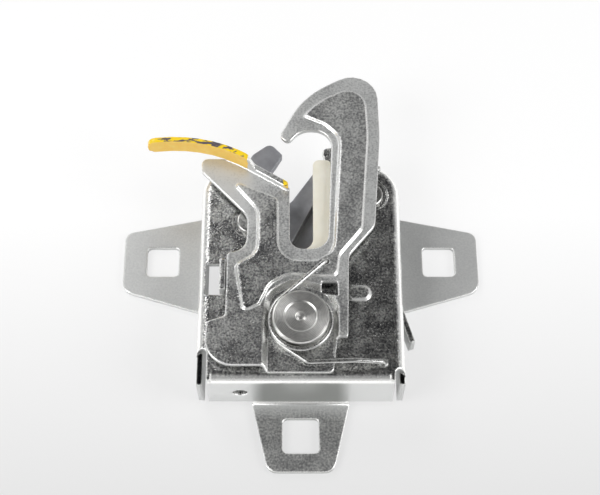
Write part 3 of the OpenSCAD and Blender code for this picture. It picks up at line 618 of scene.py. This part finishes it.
# Inner springs, in millimetres: a peg in the lever, a coil round its rivet, and a leg
# against the side wall.
inner_wire = 1.4
inner_r = 6.1
inner_low = 8.075
inner_high = 11.45
inner_bend = 1
peg_rise = 2.8
coil_lead = 25
inner_springs = (
    ("wound_claw_spring", "claw_spring", "claw", Vector((-17.8, 6, 0)), 236, 8.8, 661, -32.2),
    ("wound_pawl_spring", "pawl_spring", "pawl", Vector((24.5, 16.3, 0)), 265, 12.0, 510, 32.2),
)
for name, node, lever, centre, way, reach, wound_by, wall_x in inner_springs:
    a = math.radians(way)
    eye = centre + Vector((math.cos(a), math.sin(a), 0)) * reach
    peg = Vector((eye.x, eye.y, inner_high + peg_rise))
    elbow = Vector((eye.x, eye.y, inner_high))
    turns = coil(centre, inner_r, way - coil_lead, way - coil_lead - wound_by, inner_high, inner_low)
    at_wall = Vector((wall_x, turns[-1].y, inner_low))
    path = [peg] + bend(peg, elbow, turns[0], inner_bend) + turns + [at_wall]
    spring = wound(name, path, inner_wire)
    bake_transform(spring)
    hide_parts(node)

# Studio: a white sweep under soft light, seen from the front and well above, as a part
# is photographed for a parts list. Near the part the paper is painted darker towards the
# viewer, to pale grey: a painted fall-off of light.
floor_reach = 3
floor_level = -0.0002
rise_reach = (0.12, 0.9)
near_part = (0.14, 0.35)
fall_heights = (-0.085, 0.02)
paper = finish_named("white studio paper")
tree = paper.node_tree
ray = add(tree, "ShaderNodeLightPath", {}, {})
where = add(tree, "ShaderNodeTexCoord", {}, {})
along = add(tree, "ShaderNodeSeparateXYZ", {}, {"Vector": where.outputs["Object"]})
away = add(tree, "ShaderNodeVectorMath", {"operation": "LENGTH"}, {0: where.outputs["Object"]})
rise = add(tree, "ShaderNodeMapRange", {}, {
    "Value": away.outputs["Value"], "From Min": rise_reach[0], "From Max": rise_reach[1],
    "To Min": 0.34, "To Max": 0.95})
near = add(tree, "ShaderNodeMapRange", {}, {
    "Value": away.outputs["Value"], "From Min": near_part[0], "From Max": near_part[1],
    "To Min": 1.0, "To Max": 0.0})
# painted shade: the paper's glow is lowered towards the viewer near the part
painted_falloff = add(tree, "ShaderNodeMapRange", {}, {
    "Value": along.outputs["Y"], "From Min": fall_heights[0], "From Max": fall_heights[1],
    "To Min": -0.21, "To Max": 0.0})
paper_tone = add(tree, "ShaderNodeMath", {"operation": "MULTIPLY_ADD"}, {
    0: painted_falloff.outputs["Result"], 1: near.outputs["Result"], 2: 0.75})
paper_lift = add(tree, "ShaderNodeMath", {"operation": "MAXIMUM"}, {
    0: paper_tone.outputs["Value"], 1: rise.outputs["Result"]})
in_metal = add(tree, "ShaderNodeMath", {"operation": "MULTIPLY"}, {
    0: ray.outputs["Is Glossy Ray"], 1: rise.outputs["Result"]})
lift = add(tree, "ShaderNodeMath", {"operation": "MULTIPLY_ADD"}, {
    0: ray.outputs["Is Camera Ray"], 1: paper_lift.outputs["Value"], 2: in_metal.outputs["Value"]})
shade = add(tree, "ShaderNodeMix", {"data_type": "RGBA"}, {
    0: ray.outputs["Is Camera Ray"], 6: linear("#F4F4F4"), 7: linear("#8E8E8E")})
matt = add(tree, "ShaderNodeBsdfDiffuse", {}, {"Color": shade.outputs[2]})
glow = add(tree, "ShaderNodeEmission", {}, {"Color": linear("#FFFFFF"), "Strength": lift.outputs["Value"]})
both = add(tree, "ShaderNodeAddShader", {}, {0: matt.outputs["BSDF"], 1: glow.outputs["Emission"]})
add(tree, "ShaderNodeOutputMaterial", {}, {"Surface": both.outputs["Shader"]})
floor_mesh = bpy.data.meshes.new("floor")
sides = ((-1, -1), (1, -1), (1, 1), (-1, 1))
corners = [(x * floor_reach, y * floor_reach, floor_level) for x, y in sides]
floor_mesh.from_pydata(corners, [], [(0, 1, 2, 3)])
floor_mesh.materials.append(paper)
floor = bpy.data.objects.new("floor", floor_mesh)
bpy.context.scene.collection.objects.link(floor)

world = bpy.data.worlds.new("studio")
bpy.context.scene.world = world
world.use_nodes = True
tree = world.node_tree
tree.nodes.clear()
outward = add(tree, "ShaderNodeTexCoord", {}, {})
parts = add(tree, "ShaderNodeSeparateXYZ", {}, {"Vector": outward.outputs["Generated"]})
sky = add(tree, "ShaderNodeMapRange", {}, {
    "Value": parts.outputs["Z"], "From Min": 0.25, "From Max": 0.85, "To Min": 0.65, "To Max": 0.08})
looking = add(tree, "ShaderNodeLightPath", {}, {})
shown = add(tree, "ShaderNodeMath", {"operation": "MAXIMUM"}, {
    0: sky.outputs["Result"], 1: looking.outputs["Is Camera Ray"]})
room = add(tree, "ShaderNodeBackground", {}, {
    "Color": linear("#FFFFFF"), "Strength": shown.outputs["Value"]})
add(tree, "ShaderNodeOutputWorld", {}, {"Surface": room.outputs["Background"]})

lit_spot = Vector((0, 0, 0.01))
for name, at, power, side in (
    ("left softbox", (-0.62, -0.3, 0.62), 3.9, 0.5),
    ("right softbox", (0.72, -0.2, 0.6), 4.0, 0.5),
    ("back softbox", (-0.5, 0.62, 0.8), 2.6, 0.45),
):
    softbox = bpy.data.lights.new(name, "AREA")
    softbox.energy = power
    softbox.size = side
    lamp = bpy.data.objects.new(name, softbox)
    lamp.location = at
    lamp.rotation_euler = (lit_spot - Vector(at)).to_track_quat("-Z", "Y").to_euler()
    bpy.context.scene.collection.objects.link(lamp)

aim = Vector((-0.00025, 0.001, 0.012))
lens = bpy.data.cameras.new("camera")
lens.sensor_width = 36
lens.lens = 77.4
camera = bpy.data.objects.new("camera", lens)
camera.location = (-0.00025, -0.20065, 0.42545)
camera.rotation_euler = (aim - camera.location).to_track_quat("-Z", "Y").to_euler()
bpy.context.scene.collection.objects.link(camera)
bpy.context.scene.camera = camera
